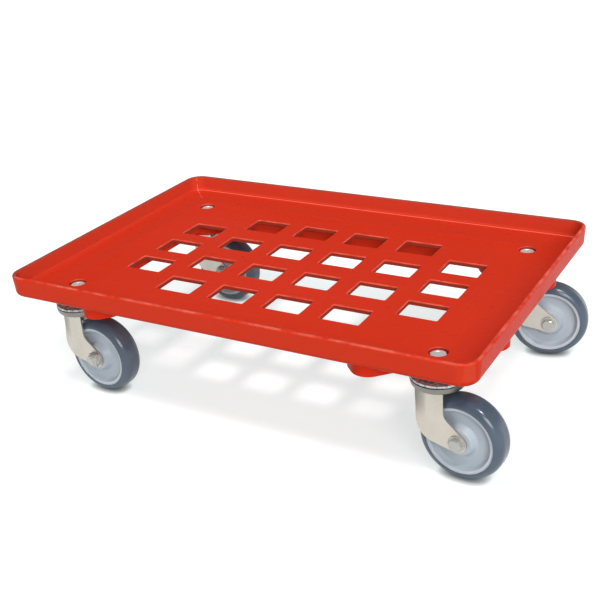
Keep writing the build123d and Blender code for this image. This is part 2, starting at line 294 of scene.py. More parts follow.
@dataclass(frozen=True)
class DeckPlastic(Finish):
    """Moulded plastic with a satin skin and hair scratches; its rubbed rim and worn edges carry painted
    highlights, and bands carry painted light and shade.
    """

    # The rim's rubs are wear and also a painted highlight along its top edge.
    rub_and_highlight_colour: Colour = (0.80, 0.22, 0.155)
    rub_levels: Pair = (22.9, 24.3)
    rub_patches: Patches = Patches(60.0, (0.40, 0.66), detail=5.0)
    rub_and_highlight_share: float = 0.62
    rub_dulling: float = 0.06
    scratches_along: Patches = Patches(6.0, (0.68, 0.74), detail=1.0, stretch=(1.0, 90.0, 1.0), turn=0.16)
    scratches_across: Patches = Patches(8.0, (0.70, 0.76), detail=1.0, stretch=(80.0, 1.0, 1.0), turn=-0.21)
    scratch_share: float = 0.10
    tray_half: Pair = (296.0, 196.0)
    wall_half: Pair = (307.0, 207.0)
    rim_half: Pair = (311.0, 211.0)
    border_left: Pair = (-304.0, -264.0)
    border_back: Pair = (164.0, 204.0)
    border_ease: float = 14.0
    # Painted shade: the borders before the back and left walls are deeper.
    border_shade: Band = Band((0.4, 4.6), (0.580, 0.035, 0.0145), 0.80, 0.4)
    # Painted highlight: the rounded edges of the holes and recesses are pale, broken up in patches like wear.
    edge: Band = Band((-1.60, -0.06), (0.87, 0.155, 0.105), 0.92)
    edge_patches: Patches = Patches(55.0, (0.38, 0.60))
    edge_wear: Pair = (0.40, 1.0)
    # Painted shade: the cut walls of the holes are dark.
    hole: Band = Band((-3.42, -1.70), (0.32, 0.040, 0.022), 0.92)
    # Painted shade: the lips under the holes are dark.
    lip: Band = Band((-8.0, -3.0), (0.32, 0.040, 0.022), 0.92)
    # Painted sheen: the inner walls are paler.
    wall: Band = Band((4.6, 23.6), (0.655, 0.088, 0.046), 0.40, 1.2)
    # Painted highlight: a pale line along the foot of the back wall.
    foot: Band = Band((3.25, 3.80), (0.90, 0.15, 0.105))
    # Painted highlight: a broken pale line up the back left corner and along the mitre of its borders.
    corner_highlight_line: Pair = (-100.5, -99.5)
    corner_highlight_reach: Pair = (-311.0, -276.0)
    corner_highlight_ease: float = 0.4
    corner_highlight_patches: Patches = Patches(160.0, (0.42, 0.52))
    corner_highlight: Band = Band((0.6, 24.3), (0.90, 0.34, 0.28), 0.55)
    # Painted light: the front skirt is lighter.
    skirt_face: Pair = (-212.0, -207.3)
    skirt_ease: float = 0.3
    skirt: Band = Band((-14.0, 22.4), (0.665, 0.045, 0.0185), 0.9, 0.6)
    # Painted shade: the crests of the back and left rims are dark.
    crest_shade: Band = Band((24.3, 26.0), (0.27, 0.055, 0.038), 0.75, 2.6)
    waves: Patches = Patches(14.0, detail=1.0)
    wave_depth: float = 0.22

    def scratches(self, graph: Graph) -> Socket:
        """Find the hair scratches: thin crests of two noises drawn out along the deck and across it."""
        return graph.larger(graph.patches(self.scratches_along), graph.patches(self.scratches_across))

    def rubs(self, graph: Graph) -> Socket:
        """Find where crates rub the rim and where its painted highlight lies: near its top edge, broken up by
        noise.
        """
        near_top = graph.reach(graph.split(graph.place)[2], self.rub_levels)
        return graph.times(near_top, graph.patches(self.rub_patches))

    def regions(self, graph: Graph, x: Socket, y: Socket) -> list[tuple[Socket, Band]]:
        """Find where each band of the deck lies, seen from above.

        The front skirt is painted lighter, as painted light, and the inner walls paler, as a painted sheen. The
        borders before the back and left walls are deeper, as painted shade. The rounded edges of the holes and
        recesses are unevenly pale, a painted highlight broken up like wear, and the cut walls and lips below them
        dark, as painted shade. A painted highlight runs as a pale line along the foot of the back wall and a
        broken one up the corner beside it, and the crests of the back and left rims are dark with painted shade.

        Args:
            graph: The material's tree.
            x: The place along the deck.
            y: The place across the deck.

        Returns:
            A mark and its band, from the lowest layer up.
        """
        tray, inside = (graph.within(x, y, half) for half in (self.tray_half, self.wall_half))
        left = graph.between(x, (-self.rim_half[0], -self.tray_half[0]))
        back = graph.between(y, (self.tray_half[1], self.rim_half[1]))
        diagonal = graph.between(graph.math("ADD", x, y), self.corner_highlight_line, self.corner_highlight_ease)
        corner = graph.times(diagonal, graph.between(x, self.corner_highlight_reach))
        borders = graph.larger(
            graph.between(x, self.border_left, self.border_ease),
            graph.between(y, self.border_back, self.border_ease),
        )
        return [
            (graph.between(y, self.skirt_face, self.skirt_ease), self.skirt),
            (inside, self.wall),
            (graph.times(inside, borders), self.border_shade),
            (graph.times(tray, graph.patches(self.edge_patches, self.edge_wear)), self.edge),
            (tray, self.hole),
            (graph.mark(LIP_MARK), self.lip),
            (graph.times(inside, back), self.foot),
            (graph.times(inside, graph.times(corner, graph.patches(self.corner_highlight_patches))), self.corner_highlight),
            (graph.larger(left, back), self.crest_shade),
        ]

    def colour(self, graph: Graph) -> Socket:
        """Lay scratches and rubs, with a painted highlight, over the tones, then the bands, each between two
        heights.

        Args:
            graph: The material's tree.

        Returns:
            The base colour.
        """
        scratched = graph.times(self.scratches(graph), self.scratch_share)
        # This mix carries the scratches, the rim's wear and the rim's painted highlight.
        rubbed = graph.larger(scratched, graph.times(self.rubs(graph), self.rub_and_highlight_share))
        colour = graph.mix(rubbed, super().colour(graph), self.rub_and_highlight_colour)
        x, y, z = graph.split(graph.place)
        for region, band in self.regions(graph, x, y):
            here = graph.times(region, graph.between(z, band.levels, band.ease))
            colour = graph.mix(graph.times(here, band.share), colour, band.colour)
        return colour

    def rough(self, graph: Graph) -> Socket:
        """Dull the skin where it is rubbed."""
        return graph.math("ADD", super().rough(graph), graph.times(self.rubs(graph), self.rub_dulling))

    def grain(self, graph: Graph, under: Socket | None = None) -> Socket:
        """Set the moulded grain on the slow waves of a large moulding."""
        return super().grain(graph, graph.relief(graph.noise(self.waves), self.wave_depth, under))


@dataclass(frozen=True)
class ZincSheet(Finish):
    """Zinc-plated sheet with a cloudy passivated tint and a faint crystal spangle."""

    tint: Colour = (0.60, 0.62, 0.60)
    spangle_scale: float = 420.0
    spangle_share: float = 0.22

    def colour(self, graph: Graph) -> Socket:
        """Lay tinted spangle cells, each as strong as its own random number, over the two tones.

        Args:
            graph: The material's tree.

        Returns:
            The base colour.
        """
        cells = graph.add("TexVoronoi", vector=graph.place, scale=self.spangle_scale).outputs["Color"]
        share = graph.times(graph.split(cells)[0], self.spangle_share)
        return graph.mix(share, super().colour(graph), self.tint)


@dataclass(frozen=True)
class BrightZinc(ZincSheet):
    """Bright zinc of the fasteners: on the swivel heads, painted glints and painted shade mixed with grime; darker
    lower down.
    """

    head: Pair = (-36.0, -12.0)
    # Painted shade mixed with grime, and painted glints, in patches on the swivel heads.
    head_shade_and_grime: Colour = (0.23, 0.28, 0.29)
    head_glints: Colour = (0.70, 0.77, 0.77)
    mottle: Patches = Patches(300.0, (0.40, 0.60), detail=2.0)
    dull: Colour = (0.43, 0.445, 0.41)
    dull_levels: Pair = (-85.0, -50.0)
    dull_share: float = 0.75

    def colour(self, graph: Graph) -> Socket:
        """At the height of the swivel heads, lay painted glints and painted shade mixed with grime; dull it
        further down.

        Args:
            graph: The material's tree.

        Returns:
            The base colour.
        """
        height = graph.split(graph.place)[2]
        low = graph.reach(height, self.dull_levels, (self.dull_share, 0.0))
        mottled = graph.mix(graph.patches(self.mottle), self.head_shade_and_grime, self.head_glints)
        bright = graph.mix(graph.between(height, self.head), super().colour(graph), mottled)
        return graph.mix(low, bright, self.dull)


@dataclass(frozen=True)
class ZincWithBendShade(ZincSheet):
    """Zinc-plated sheet painted greyer along its rolled bends and on the crown, as painted shade."""

    # Painted shade: the grey laid on the rolled edges and on the crown.
    drawn: Colour = (0.17, 0.168, 0.155)

    def colour(self, graph: Graph) -> Socket:
        """Grey the plated colour along the bends and on the crown: a painted shade."""
        return graph.mix(graph.mark(BEND_SHADE_MARK), super().colour(graph), self.drawn)


@dataclass(frozen=True)
class WheelPlastic(Finish):
    """Moulded wheel plastic, with fine turned rings left by the mould round the axle, and a painted highlight on
    the lip.
    """

    ring_pitch: float = 0.9
    ring_depth: float = 0.012
    # Painted highlight on the lip under the tyre.
    lip: Colour = (0.60, 0.655, 0.71)
    lip_highlight_reach: Pair = (36.2, 37.2)

    def colour(self, graph: Graph) -> Socket:
        """Lighten the lip under the tyre, by distance from the axle, as a painted highlight."""
        at_lip = graph.reach(graph.mark(RADIUS_MARK), self.lip_highlight_reach)
        return graph.mix(at_lip, super().colour(graph), self.lip)

    def grain(self, graph: Graph, under: Socket | None = None) -> Socket:
        """Lay rings over the grain, a sine of the distance from the axle.

        Args:
            graph: The material's tree.
            under: The layer below the grain, if any.

        Returns:
            The shaded normal.
        """
        turns = graph.times(graph.mark(RADIUS_MARK), 2.0 * np.pi / (self.ring_pitch * MM))
        rings = graph.spread(graph.math("SINE", turns), (-1.0, 1.0))
        return graph.relief(rings, self.ring_depth, super().grain(graph, under))


@dataclass(frozen=True)
class TreadRubber(Finish):
    """Soft tread, a little dusty where it has rolled."""

    dust: Colour = (0.150, 0.155, 0.165)
    dust_reach: Pair = (47.5, 49.8)
    dust_patches: Patches = Patches(70.0, (0.45, 0.75), detail=6.0)
    dust_share: float = 0.5

    def colour(self, graph: Graph) -> Socket:
        """Lay dust on the running face, by distance from the axle.

        Args:
            graph: The material's tree.

        Returns:
            The base colour.
        """
        running = graph.reach(graph.mark(RADIUS_MARK), self.dust_reach)
        patches = graph.patches(self.dust_patches, (0.0, self.dust_share))
        return graph.mix(graph.times(running, patches), super().colour(graph), self.dust)


FINISHES: tuple[Finish, ...] = (
    DeckPlastic(
        Slot.DECK, tones=((0.635, 0.0305, 0.0092), (0.670, 0.0345, 0.0116)), roughness=(0.26, 0.34),
        specular=0.025, tone_scale=5.0, grain_scale=1300.0, grain_depth=0.010,
    ),
    ZincWithBendShade(
        Slot.ZINC, tones=((0.545, 0.505, 0.435), (0.615, 0.575, 0.51)), roughness=(0.34, 0.46), metallic=1.0,
        tone_scale=26.0, grain_scale=160.0, grain_depth=0.015, grain_stretch=(1.0, 1.0, 9.0),
    ),
    BrightZinc(
        Slot.BRIGHT, tones=((0.62, 0.615, 0.585), (0.72, 0.715, 0.69)), roughness=(0.22, 0.34), metallic=0.32,
        tone_scale=60.0, grain_scale=420.0, grain_depth=0.008,
    ),
    Finish(
        Slot.BALL, tones=((0.74, 0.75, 0.77), (0.80, 0.80, 0.81)), roughness=(0.07, 0.12), metallic=1.0,
        tone_scale=120.0, grain_depth=0.002,
    ),
    WheelPlastic(
        Slot.WHEEL, tones=((0.435, 0.50, 0.56), (0.475, 0.54, 0.60)), roughness=(0.34, 0.44), specular=0.40,
        tone_scale=22.0, grain_scale=1100.0, grain_depth=0.006,
    ),
    Finish(
        Slot.BUSH, tones=((0.72, 0.72, 0.68), (0.78, 0.78, 0.75)), roughness=(0.40, 0.50),
        tone_scale=60.0, grain_depth=0.008,
    ),
    TreadRubber(
        Slot.TREAD, tones=((0.070, 0.101, 0.146), (0.092, 0.127, 0.174)), roughness=(0.18, 0.26),
        specular=0.45, tone_scale=30.0, grain_scale=1400.0, grain_depth=0.008,
    ),
)


@dataclass(frozen=True)
class Grid:
    """A surface as rows and columns of points, each way open or closed in a ring.

    Its faces look along the cross product of the steps to the next row and to the next column.
    """

    points: Array
    ring_rows: bool = False
    ring_columns: bool = False
    marks: Array | None = None

    def quads(self) -> Array:
        """Number the four corners of every cell, row by row.

        Returns:
            Corner numbers, four to a cell.
        """
        rows, columns = self.points.shape[:2]
        cells = (rows - (not self.ring_rows), columns - (not self.ring_columns))
        row, column = np.meshgrid(*map(np.arange, cells), indexing="ij")
        below, beside = (row + 1) % rows, (column + 1) % columns
        corners = ((row, column), (below, column), (below, beside), (row, beside))
        return np.stack([r * columns + c for r, c in corners], -1).reshape(-1, 4)


def make_piece(name: str, grids: Sequence[Grid], mark: str = RADIUS_MARK) -> Piece:
    """Put grids of points into one smooth mesh object.

    Args:
        name: The piece's name.
        grids: Its surfaces.
        mark: The name under which the mesh carries the grids' marks.

    Returns:
        The object, at the origin, linked to the scene.
    """
    starts = np.cumsum([0] + [grid.points[..., 0].size for grid in grids])
    points = np.concatenate([grid.points.reshape(-1, 3) for grid in grids])
    quads = np.concatenate([grid.quads() + start for grid, start in zip(grids, starts)])
    mesh = bpy.data.meshes.new(name)
    mesh.from_pydata(points.tolist(), [], quads.tolist())
    mesh.shade_smooth()
    if all(grid.marks is not None for grid in grids):
        marks = np.concatenate([grid.marks.ravel() for grid in grids])
        mesh.attributes.new(mark, "FLOAT", "POINT").data.foreach_set("value", marks.astype(np.float32))
    mesh.update()
    piece = bpy.data.objects.new(name, mesh)
    bpy.context.scene.collection.objects.link(piece)
    return piece


def rounded_path(corners: Sequence[Pair], radii: Sequence[float], steps: int = 8) -> Array:
    """Round the inner corners of a polyline with arcs that touch both legs.

    A corner of turn t and radius r is cut back by r * tan(t / 2) on both legs. The arc's points turn about
    its centre, which stands r off the first leg on the side that the path turns to.

    Args:
        corners: The polyline's corners.
        radii: A radius for each inner corner.
        steps: Points on each arc.

    Returns:
        The path's points, in order.
    """
    point = np.asarray(corners, float)
    leg = np.diff(point, axis=0)
    leg /= np.linalg.norm(leg, axis=1, keepdims=True)
    before, after, radius = leg[:-1], leg[1:], np.asarray(radii, float)[:, None]
    cross = before[:, 0] * after[:, 1] - before[:, 1] * after[:, 0]
    turn = np.arctan2(cross, (before * after).sum(1))[:, None]
    inward = np.stack([-before[:, 1], before[:, 0]], -1) * np.sign(turn)
    centre = point[1:-1] - before * radius * np.tan(np.abs(turn) / 2.0) + inward * radius
    angle = turn * np.linspace(0.0, 1.0, steps)
    c, s, arm = np.cos(angle), np.sin(angle), -inward * radius
    swung = np.stack([c * arm[:, :1] - s * arm[:, 1:], s * arm[:, :1] + c * arm[:, 1:]], -1)
    arcs = centre[:, None, :] + swung
    return np.concatenate([point[:1], arcs.reshape(-1, 2), point[-1:]])


def evenly(path: Array, count: int) -> Array:
    """Space points evenly along a path by arc length.

    Args:
        path: The path's points.
        count: How many points to space.

    Returns:
        The spaced points.
    """
    along = np.concatenate([[0.0], np.cumsum(np.linalg.norm(np.diff(path, axis=0), axis=1))])
    wanted = np.linspace(0.0, along[-1], count)
    return np.stack([np.interp(wanted, along, path[:, axis]) for axis in range(path.shape[1])], -1)


def ways(angle: Array) -> Array:
    """Turn angles in radians into unit vectors."""
    return np.stack([np.cos(angle), np.sin(angle)], -1)


def arc(centre: Pair, radius: float, start: float, end: float, count: int) -> Array:
    """Space points evenly on a circle's arc, from the first angle to the last, in degrees."""
    angle = np.radians(np.linspace(start, end, count))
    return np.asarray(centre) + radius * ways(angle)


def edge_patch(top: Array, bottom: Array, front: Array, back: Array, share: Array) -> Array:
    """Fill the space between four edges.

    The point at share u across and v down is the straight blend of the top and bottom edges plus that of the
    front and back edges, less the blend of the four corners.

    Args:
        top: Points of the top edge, front to back.
        bottom: Points of the bottom edge, front to back.
        front: Points of the front edge, downwards.
        back: Points of the back edge, downwards.
        share: The share across of each column.

    Returns:
        Rows of points.
    """
    u, v = share[None, :, None], np.linspace(0.0, 1.0, len(front))[:, None, None]
    across = (1.0 - v) * top[None] + v * bottom[None]
    down = (1.0 - u) * front[:, None] + u * back[:, None]
    corners = (1.0 - v) * ((1.0 - u) * top[0] + u * top[-1]) + v * ((1.0 - u) * bottom[0] + u * bottom[-1])
    return across + down - corners


@dataclass(frozen=True)
class CasterPlace:
    """Where a caster stands at rest, read from its two joints; the wheel trails behind the swivel's pivot."""

    corner: Corner
    pivot: Array
    axle: Array
    trailing: Array
    sideways: Array

    @classmethod
    def read(cls, corner: Corner, joints: Sequence[dict]) -> "CasterPlace":
        """Take a caster's place from the swivel and spin joints.

        Args:
            corner: The caster's corner.
            joints: The frame's joints.

        Returns:
            The caster's place.
        """
        at = {joint["name"]: np.array(joint["pos_m"], float) for joint in joints}
        pivot, axle = at[f"swivel_{corner.value}"], at[f"spin_{corner.value}"]
        level = (axle - pivot) * (1.0, 1.0, 0.0)
        trailing = level / np.linalg.norm(level)
        return cls(corner, pivot, axle, trailing, np.array([-trailing[1], trailing[0], 0.0]))

    def about_pivot(self, x: Array, y: Array, z: Array) -> Array:
        """Points from millimetres along the trail, sideways, and up from the pivot on the mounting face."""
        x, y, z = (np.asarray(v)[..., None] * MM for v in (x, y, z))
        return self.pivot + x * self.trailing + y * self.sideways + z * UP

    def turned(self, section: Array, sides: int, axis: Axis, closed: bool) -> Grid:
        """Turn a section of (radius, offset) round the pivot or the axle.

        Args:
            section: Points of the section, in millimetres.
            sides: Points round the axis.
            axis: What it turns about.
            closed: Whether the section is a closed loop.

        Returns:
            The turned surface.
        """
        angle = 2.0 * np.pi * np.arange(sides) / sides
        radius, offset = section[:, None, 0], section[:, None, 1] + 0.0 * angle
        first, second = radius * np.cos(angle), radius * np.sin(angle)
        if axis is Axis.PIVOT:
            points = self.about_pivot(first, second, offset)
        else:
            points = self.about_pivot(first, offset, second) + self.axle - self.pivot
        marks = np.broadcast_to(radius * MM, offset.shape)
        return Grid(points, ring_rows=closed, ring_columns=True, marks=marks)

    def wheel_piece(self, name: str, section: Array, sides: int) -> Piece:
        """Make a piece of the wheel, a closed section turned round the axle."""
        surface = self.turned(section, sides, Axis.AXLE, closed=True)
        return make_piece(f"{name}_{self.corner.value}", [surface])


@dataclass(frozen=True)
class Tyre:
    """The soft tread: a flat running face with a fine parting line, and two round shoulders."""

    radius: float = 50.0
    seat_radius: float = 41.0
    width: float = 32.0
    flat_width: float = 8.5
    parting_height: float = 0.12
    parting_width: float = 0.45
    heel_rounding: float = 0.5
    shoulder_points: int = 22
    flat_points: int = 25
    sides: int = 176

    def section(self) -> Array:
        """Work out the closed section.

        The running face is level apart from the parting line, a bell curve on its middle. Each shoulder is an
        arc from the running face to the seat's radius; the seat closes the loop along the wheel.

        Returns:
            Points of (radius, offset).
        """
        half_flat = self.flat_width / 2.0
        shoulder = self.width / 2.0 - half_flat
        middle = self.radius - shoulder
        turn = np.degrees(np.arccos((self.seat_radius - middle) / shoulder))
        offset = np.linspace(-half_flat, half_flat, self.flat_points)
        rise = self.parting_height * (np.exp(-((offset / self.parting_width) ** 2)) - 1.0)
        face = np.stack([self.radius + rise, offset], -1)
        side = arc((middle - self.parting_height, half_flat), shoulder, 0.0, turn, self.shoulder_points)[1:]
        end = side[-1] - (self.heel_rounding, 0.0)
        foot = np.array([end, end - (0.0, self.heel_rounding)])
        upper = np.concatenate([side, foot])
        return np.concatenate([upper[::-1] * (1.0, -1.0), face, upper])

    def build(self, place: CasterPlace) -> Piece:
        """Make the tyre at its wheel."""
        return place.wheel_piece("tread", self.section(), self.sides)


@dataclass(frozen=True)
class WheelCentre:
    """The plastic wheel centre: a long hub, a dished disc on each side and a raised lip under the tyre."""

    bore_radius: float = 10.05
    hub_radius: float = 15.55
    hub_half_length: float = 17.2
    hub_foot_radius: float = 20.05
    disc_inner: float = 9.5
    disc_outer: float = 8.0
    band_foot_radius: float = 33.7
    band_radius: float = 36.3
    lip_half_width: float = 14.2
    lip_radius: float = 41.0
    lip_rounding: float = 1.0
    foot_rounding: float = 2.6
    hub_rounding: float = 1.0
    arc_points: int = 9
    sides: int = 160

    def section(self) -> Array:
        """Work out the closed section: the profile of one side with rounded corners, then its mirror image.

        Returns:
            Points of (radius, offset).
        """
        corners = [
            (self.bore_radius, 0.0),
            (self.bore_radius, self.hub_half_length),
            (self.hub_radius, self.hub_half_length),
            (self.hub_foot_radius, self.disc_inner),
            (self.band_foot_radius, self.disc_outer),
            (self.band_radius, self.lip_half_width),
            (self.lip_radius, self.lip_half_width),
            (self.lip_radius, 0.0),
        ]
        edge = self.hub_rounding / 2.0
        radii = [edge, self.hub_rounding, self.foot_rounding, self.foot_rounding, self.lip_rounding, edge]
        side = rounded_path(corners, radii, self.arc_points)
        return np.concatenate([side, side[-2:0:-1] * (1.0, -1.0)])[::-1]

    def build(self, place: CasterPlace) -> Piece:
        """Make the wheel centre at its axle."""
        return place.wheel_piece("wheel_centre", self.section(), self.sides)


@dataclass(frozen=True)
class Fork:
    """The pressed fork: a crown with its ball trough, and two legs whose front edges roll inwards."""

    sheet: float = 2.5
    edge_rounding: float = 0.5
    edge_segments: int = 3
    bend: float = 2.6
    crown_line: tuple[Pair, ...] = (
        (9.0, -15.25), (16.0, -15.25), (18.0, -20.25), (28.85, -20.25), (30.05, -13.25),
    )
    crown_sides: int = 112
    crown_shade: float = 0.80
    leg_middle: float = 18.75
    leg_top: float = -20.25
    leg_front: float = -17.0
    leg_back: float = 15.0
    axle_point: Pair = (30.5, -79.4)
    end_radius: float = 11.3
    low_slope: float = 12.0
    high_slope: float = 40.0
    heel_radius: float = 24.0
    throat_radius: float = 14.0
    end_low: float = -58.0
    end_high: float = 6.0
    roll_radius: float = 12.0
    roll_forward: float = 6.0
    roll_fade: Pair = (-66.0, -30.0)
    end_points: int = 12
    bend_points: int = 24
    rows: int = 72
    columns: int = 34
    front_crowding: float = 1.7

    def leg_plan(self) -> Array:
        """Fill the leg's outline, seen from the side, with rows from its top to its round end.

        The front edge drops, turns at the heel and runs to the end circle; the back edge drops, turns at the
        throat and comes down to it. Columns crowd towards the front edge as a power of their share.

        Returns:
            Rows of (along the trail, up) in millimetres.
        """
        low_angle, high_angle = -90.0 - self.low_slope, 90.0 - self.high_slope
        low = arc(self.axle_point, self.end_radius, low_angle, self.end_low, self.end_points)
        high = arc(self.axle_point, self.end_radius, high_angle, self.end_high, self.end_points)
        heel = low[0, 1] + (low[0, 0] - self.leg_front) * np.tan(np.radians(self.low_slope))
        throat = high[0, 1] + (high[0, 0] - self.leg_back) * np.tan(np.radians(self.high_slope))
        front, back = (
            rounded_path([(x, self.leg_top), (x, turn), tuple(end[0])], [radius], self.bend_points)
            for x, turn, end, radius in (
                (self.leg_front, heel, low, self.heel_radius),
                (self.leg_back, throat, high, self.throat_radius),
            )
        )
        share = np.linspace(0.0, 1.0, self.columns) ** self.front_crowding
        tip = np.radians(self.end_low + (self.end_high - self.end_low) * share)
        return edge_patch(
            front[0] + share[:, None] * (back[0] - front[0]),
            self.axle_point + self.end_radius * ways(tip),
            evenly(np.concatenate([front, low[1:]]), self.rows),
            evenly(np.concatenate([back, high[1:]]), self.rows),
            share,
        )

    def leg(self, place: CasterPlace, side: int) -> Grid:
        """Work out one leg's middle surface.

        The leg is flat, except that at its front edge it rolls inwards on a quarter circle and runs forward.
        The share of the roll is 1 at the edge and falls evenly to 0 at the roll's radius from it. A smooth
        step in height fades the roll out towards the heel.

        Args:
            place: The caster's place.
            side: 1 or -1 for the side of the wheel.

        Returns:
            The leg's surface, marked with how far it is drawn round the roll, which sets its painted shade.
        """
        plan = self.leg_plan()
        inset = np.linalg.norm(plan - plan[:, :1], axis=-1)
        share = np.clip(1.0 - inset / self.roll_radius, 0.0, 1.0)
        low, high = self.roll_fade
        step = np.clip((plan[..., 1] - low) / (high - low), 0.0, 1.0)
        strength = step**2 * (3.0 - 2.0 * step)
        inward = self.roll_radius * (1.0 - np.sqrt(1.0 - share**2)) * strength
        forward = self.roll_forward * share * strength
        points = place.about_pivot(plan[..., 0] - forward, side * (self.leg_middle - inward), plan[..., 1])
        return Grid(points[:, ::side], marks=(np.sqrt(share) * strength)[:, ::side])

    def thicken(self, piece: Piece) -> Piece:
        """Give a middle surface the sheet's thickness and rounded edges.

        Args:
            piece: A piece made as a middle surface.

        Returns:
            The same piece.
        """
        wall = piece.modifiers.new("sheet", "SOLIDIFY")
        wall.thickness = self.sheet * MM
        wall.offset = 0.0
        wall.use_even_offset = True
        ease = piece.modifiers.new("edges", "BEVEL")
        ease.width = self.edge_rounding * MM
        ease.segments = self.edge_segments
        ease.limit_method = "ANGLE"
        ease.harden_normals = True
        return piece

    def build_legs(self, place: CasterPlace) -> Piece:
        """Make the two legs at their pivot."""
        legs = [self.leg(place, side) for side in (1, -1)]
        return self.thicken(make_piece(f"fork_legs_{place.corner.value}", legs, BEND_SHADE_MARK))

    def build_crown(self, place: CasterPlace) -> Piece:
        """Make the crown, its middle line turned round the pivot.

        Args:
            place: The caster's place.

        Returns:
            The piece.
        """
        line = rounded_path(self.crown_line, [self.bend] * (len(self.crown_line) - 2))
        points = place.turned(line, self.crown_sides, Axis.PIVOT, closed=False).points
        # The crown is marked all over, so that its finish paints it with shade.
        crown = Grid(points, ring_columns=True, marks=np.full(points.shape[:2], self.crown_shade))
        return self.thicken(make_piece(f"fork_crown_{place.corner.value}", [crown], BEND_SHADE_MARK))


@dataclass(frozen=True)
class FixingBolts:
    """The four bolts that hold the casters: a hexagon head on a flange, sunk in the deck, and a shank."""

    across_flats: float = 17.0
    head_top: float = -2.3
    chamfer_share: float = 0.93
    chamfer_slope: float = 30.0
    dish_radius: float = 5.6
    dish_depth: float = 0.5
    flange_radius: float = 10.0
    flange_top: float = -6.0
    flange_bottom: float = -8.5
    shank_radius: float = 5.0
    tip_chamfer: float = 0.8
    turns: tuple[float, ...] = (24.0, 31.0, 47.0, 36.0)
    sides: int = 96
    sharp_angle: float = 24.0
    merge_gap: float = 0.001

    def bolt(self, pivot: Array, tip: float, turn: float) -> Grid:
        """Work out one bolt as rings from the middle of its head down to the middle of its tip.

        Rings are circles, apart from the hexagon's: half the flats over the cosine of the angle from the
        middle of the nearest flat. The hexagon's upper ring drops, with the chamfer's slope, by what it
        stands past the chamfer's circle.

        Args:
            pivot: A point on the bolt's axis, in metres.
            tip: The height of the bolt's lower end, in millimetres.
            turn: The head's turn in degrees.

        Returns:
            The bolt's closed surface.
        """
        angle = 2.0 * np.pi * np.arange(self.sides) / self.sides
        flat = np.pi / 3.0
        hexagon = self.across_flats / 2.0 / np.cos((angle + flat / 2.0) % flat - flat / 2.0)
        rim = self.chamfer_share * self.across_flats / 2.0
        shoulder = self.head_top - (hexagon - rim) * np.tan(np.radians(self.chamfer_slope))
        rings = [
            (0.0, self.head_top - self.dish_depth),
            (self.dish_radius, self.head_top - self.dish_depth),
            (self.dish_radius + self.dish_depth, self.head_top),
            (rim, self.head_top),
            (hexagon, shoulder),
            (hexagon, self.flange_top),
            (self.flange_radius, self.flange_top - self.dish_depth),
            (self.flange_radius, self.flange_bottom),
            (self.shank_radius, self.flange_bottom),
            (self.shank_radius, tip + self.tip_chamfer),
            (self.shank_radius - self.tip_chamfer, tip),
            (0.0, tip),
        ]
        radius, height = (np.stack([np.broadcast_to(ring[i], angle.shape) for ring in rings]) for i in (0, 1))
        way = angle + np.radians(turn)
        points = np.stack([radius * np.cos(way), radius * np.sin(way), height], -1) * MM
        return Grid(points + pivot * (1.0, 1.0, 0.0), ring_columns=True)

    def build(self, places: Sequence[CasterPlace]) -> Piece:
        """Make the bolts at the casters' pivots.

        Args:
            places: The casters' places.

        Returns:
            The piece.
        """
        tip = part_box("fixing_bolts")[0][2] / MM
        bolts = [self.bolt(place.pivot, tip, turn) for place, turn in zip(places, self.turns)]
        piece = make_piece("deck_bolts", bolts)
        shell = bmesh.new()
        shell.from_mesh(piece.data)
        bmesh.ops.remove_doubles(shell, verts=shell.verts, dist=self.merge_gap * MM)
        shell.to_mesh(piece.data)
        shell.free()
        piece.data.set_sharp_from_angle(angle=np.radians(self.sharp_angle))
        return piece


@dataclass(frozen=True)
class HoleLips:
    """The lip round each hole under the plate, painted dark as shade, carrying the hole's outline down past the
    plate.
    """

    opening: str = "deck_hole"
    hole_half: Pair = (25.5, 19.5)
    corner_radius: float = 1.5
    corner_steps: int = 6
    inset: float = 0.05
    thickness: float = 1.6
    top: float = -3.2
    bottom: float = -6.1
    edge_rounding: float = 0.4
    sharp_angle: float = 30.0

    def lip(self, centre: Array) -> Grid:
        """Carry the lip's section round one hole.

        The path is a rectangle with round corners. A point of the section that stands d outside it lies on an
        arc of the corner's radius plus d, about the same corner's centre, at the section's height.

        Args:
            centre: The hole's middle in millimetres.

        Returns:
            The lip's closed surface.
        """
        ease, wide, low = self.edge_rounding, self.thickness, self.bottom + self.edge_rounding
        across = np.array([wide, wide, wide - ease, ease, 0.0, 0.0])
        height = np.array([self.top, low, self.bottom, self.bottom, low, self.top])
        quarter = np.pi / 2.0
        angle = np.arange(0.0, 2.0 * np.pi, quarter)[:, None] + np.linspace(0.0, quarter, self.corner_steps)
        way = ways(angle)
        side = np.sign(way[:, :1] + way[:, -1:])
        turn = (np.zeros_like(way) + side * (np.asarray(self.hole_half) - self.corner_radius)).reshape(-1, 2)
        plan = centre + turn + (self.corner_radius + self.inset + across)[:, None, None] * way.reshape(-1, 2)
        level = np.broadcast_to(height[:, None, None], (*plan.shape[:2], 1))
        points = np.concatenate([plan, level], -1) * MM
        return Grid(points, ring_rows=True, ring_columns=True, marks=np.ones(points.shape[:2]))

    def build(self) -> Piece:
        """Make the lips of all the holes, at the openings that the record states.

        Returns:
            The piece.
        """
        stated = frame["record"]["physics"]["openings"]
        boxes = [hole["box_m"] for hole in stated if hole["name"].startswith(self.opening)]
        centres = np.mean(boxes, axis=1)[:, :2] / MM
        piece = make_piece("hole_lips", [self.lip(centre) for centre in centres], LIP_MARK)
        piece.data.set_sharp_from_angle(angle=np.radians(self.sharp_angle))
        return piece


